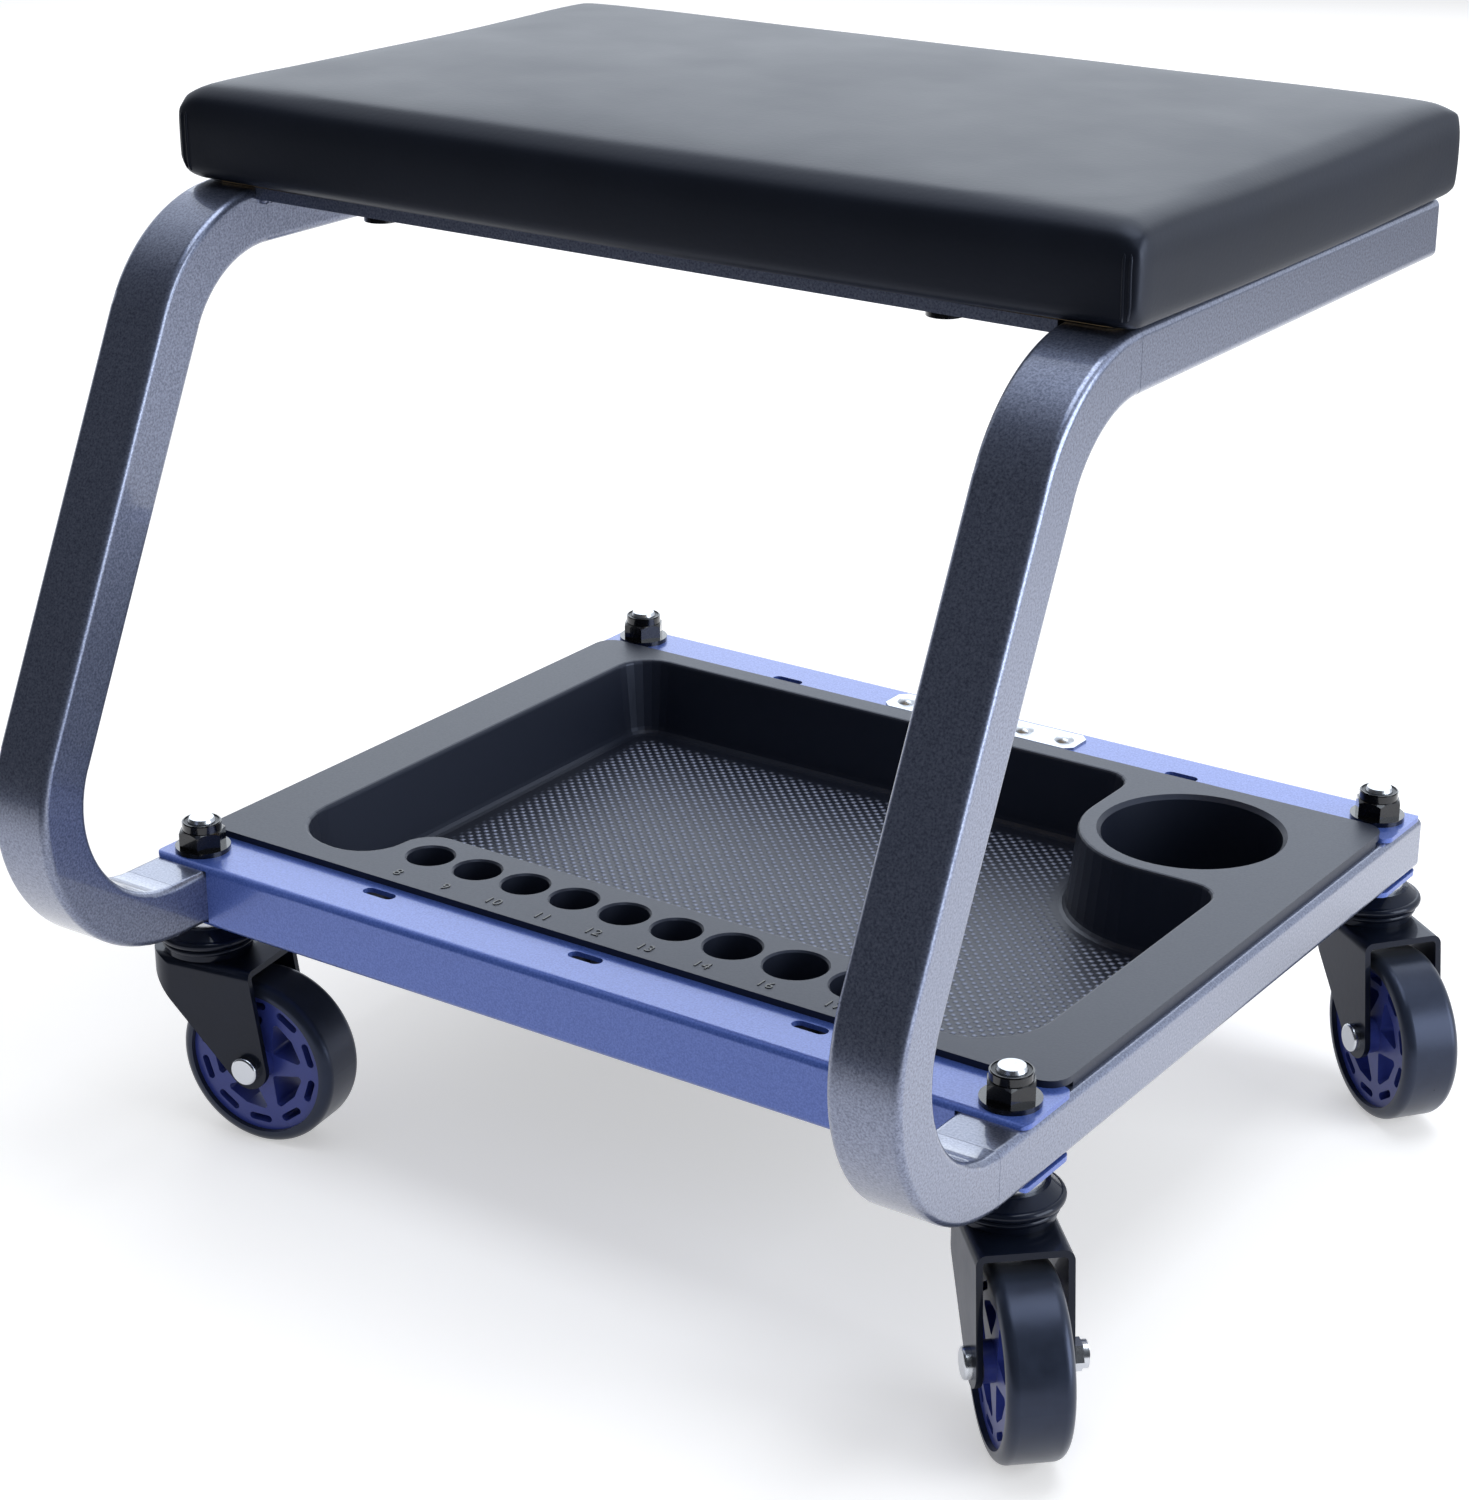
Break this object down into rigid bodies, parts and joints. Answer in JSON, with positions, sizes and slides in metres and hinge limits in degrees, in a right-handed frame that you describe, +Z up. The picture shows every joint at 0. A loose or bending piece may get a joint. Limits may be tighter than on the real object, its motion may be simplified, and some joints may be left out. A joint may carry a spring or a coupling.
{
  "type": "creeper seat",
  "caption": "Rolling workshop stool: bent tube side frames, channel rails, padded seat, moulded parts tray with socket wells and cup holder, on swivel casters",
  "frame": {"origin": "on the floor, in the middle of the whole outline", "axes": "+Z up, +X across the seat towards the cup holder's side, +Y to the rear; the leaning legs are in front"},
  "size_m": [0.434, 0.3747, 0.3806],
  "materials": {
    "tube_paint": "gunmetal metallic gloss paint",
    "rail_paint": "blue metallic gloss paint",
    "black_paint": "black satin powder coat",
    "black_steel": "black oxide, oiled",
    "zinc": "bright zinc plate",
    "bearing_steel": "ground",
    "tray_plastic": "black satin moulding, fine texture",
    "plug": "black moulding",
    "nylon": "nylon",
    "vinyl": "black grained vinyl",
    "plywood": "raw plywood",
    "hub_blue": "blue moulding",
    "tyre": "dark moulded tread"
  },
  "bodies": {
    "frame": {"side_tube_left": "tube_paint", "side_tube_right": "tube_paint", "tube_end_plugs": "plug", "front_rail": "rail_paint", "rear_rail": "rail_paint", "badge_plate": "zinc", "badge_rivets": "zinc", "seat_bar_front": "tube_paint", "seat_bar_rear": "tube_paint", "seat_board": "plywood", "seat_tee_nuts": "zinc", "seat_screws": "black_steel", "seat_cushion": "vinyl", "tray": "tray_plastic", "lock_nuts": "black_steel", "nut_rings": "nylon", "stem_fl": "zinc", "upper_race_fl": "black_paint", "stem_fr": "zinc", "upper_race_fr": "black_paint", "stem_rl": "zinc", "upper_race_rl": "black_paint", "stem_rr": "zinc", "upper_race_rr": "black_paint"},
    "caster_fl": {"fork_fl": "black_paint", "ball_ring_fl": "bearing_steel", "axle_bolt_fl": "zinc", "axle_nut_fl": "zinc", "axle_sleeve_fl": "bearing_steel"},
    "wheel_fl": {"hub_fl": "hub_blue", "tyre_fl": "tyre"},
    "caster_fr": {"fork_fr": "black_paint", "ball_ring_fr": "bearing_steel", "axle_bolt_fr": "zinc", "axle_nut_fr": "zinc", "axle_sleeve_fr": "bearing_steel"},
    "wheel_fr": {"hub_fr": "hub_blue", "tyre_fr": "tyre"},
    "caster_rl": {"fork_rl": "black_paint", "ball_ring_rl": "bearing_steel", "axle_bolt_rl": "zinc", "axle_nut_rl": "zinc", "axle_sleeve_rl": "bearing_steel"},
    "wheel_rl": {"hub_rl": "hub_blue", "tyre_rl": "tyre"},
    "caster_rr": {"fork_rr": "black_paint", "ball_ring_rr": "bearing_steel", "axle_bolt_rr": "zinc", "axle_nut_rr": "zinc", "axle_sleeve_rr": "bearing_steel"},
    "wheel_rr": {"hub_rr": "hub_blue", "tyre_rr": "tyre"}
  },
  "joints": [
    {"name": "swivel_fl", "type": "hinge", "parent": "frame", "child": "caster_fl", "pos_m": [-0.1675, -0.10088, 0.0702], "axis": [0, 0, 1], "continuous": true},
    {"name": "axle_fl", "type": "hinge", "parent": "caster_fl", "child": "wheel_fl", "pos_m": [-0.14338, -0.09719, 0.03175], "axis": [0.1513, -0.9885, 0], "continuous": true},
    {"name": "swivel_fr", "type": "hinge", "parent": "frame", "child": "caster_fr", "pos_m": [0.1675, -0.10088, 0.0702], "axis": [0, 0, 1], "continuous": true},
    {"name": "axle_fr", "type": "hinge", "parent": "caster_fr", "child": "wheel_fr", "pos_m": [0.18414, -0.11873, 0.03175], "axis": [-0.7314, -0.682, 0], "continuous": true},
    {"name": "swivel_rl", "type": "hinge", "parent": "frame", "child": "caster_rl", "pos_m": [-0.1675, 0.16832, 0.0702], "axis": [0, 0, 1], "continuous": true},
    {"name": "axle_rl", "type": "hinge", "parent": "caster_rl", "child": "wheel_rl", "pos_m": [-0.18675, 0.15333, 0.03175], "axis": [-0.6143, 0.7891, 0], "continuous": true},
    {"name": "swivel_rr", "type": "hinge", "parent": "frame", "child": "caster_rr", "pos_m": [0.1675, 0.16832, 0.0702], "axis": [0, 0, 1], "continuous": true},
    {"name": "axle_rr", "type": "hinge", "parent": "caster_rr", "child": "wheel_rr", "pos_m": [0.18675, 0.15333, 0.03175], "axis": [-0.6143, -0.7891, 0], "continuous": true}
  ]
}
